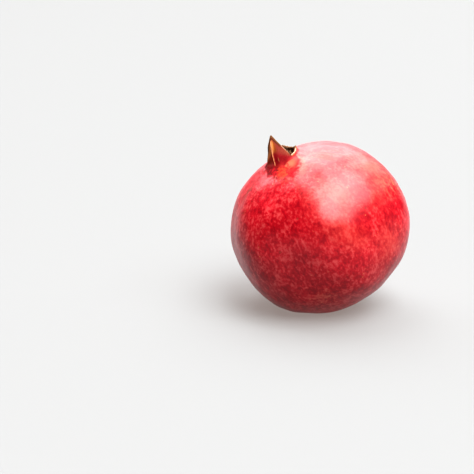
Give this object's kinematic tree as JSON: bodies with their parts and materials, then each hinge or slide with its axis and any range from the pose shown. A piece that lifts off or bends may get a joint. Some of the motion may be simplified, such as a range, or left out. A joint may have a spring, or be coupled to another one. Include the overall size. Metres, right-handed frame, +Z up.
{
  "type": "pomegranate",
  "caption": "Whole ripe pomegranate lying tipped on its side, with a pointed calyx crown, dried stamens and a cut stem stub.",
  "frame": {"origin": "on the flat spot that the fruit rests on, straight below its weight", "axes": "+Z up, the crown leans towards -X and a little towards -Y"},
  "size_m": [0.1034, 0.1052, 0.1029],
  "materials": {
    "rind": "waxy leathery red rind",
    "dried_stamens": "dry, brown",
    "woody_stem": "rough brown bark"
  },
  "bodies": {
    "root": {"fruit": "rind", "stamens": "dried_stamens", "stem": "woody_stem"}
  },
  "joints": []
}
